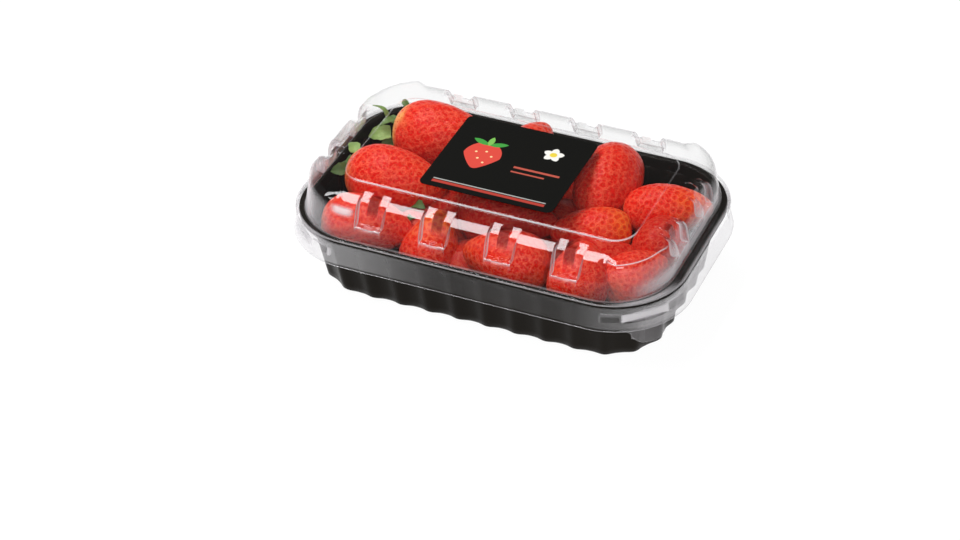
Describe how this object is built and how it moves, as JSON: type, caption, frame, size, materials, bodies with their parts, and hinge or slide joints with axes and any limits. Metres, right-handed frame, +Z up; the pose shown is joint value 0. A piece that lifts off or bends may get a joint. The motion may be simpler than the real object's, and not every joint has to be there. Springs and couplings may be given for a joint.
{
  "type": "punnet of strawberries",
  "caption": "Shut rectangular punnet of strawberries: black fluted tray, clear press-on lid with notched walls and a pull tab, dark label and a heap of ripe fruit inside.",
  "frame": {"origin": "centre of the tray's flat underside, where it stands", "axes": "+X along the long side, +Y across towards the back long side, +Z up; the pull tab is at the +X -Y corner"},
  "size_m": [0.19, 0.12, 0.056],
  "materials": {
    "tray": "black, glossy, thermoformed",
    "lid": "clear, glossy, faint grey haze",
    "label": "dark coated paper with coloured fields, satin",
    "strawberries": "ripe red fruit with pale seeds and green leaves, glossy skin"
  },
  "bodies": {
    "root": {"tray": "tray", "lid": "lid", "label": "label", "strawberries": "strawberries"}
  },
  "joints": []
}
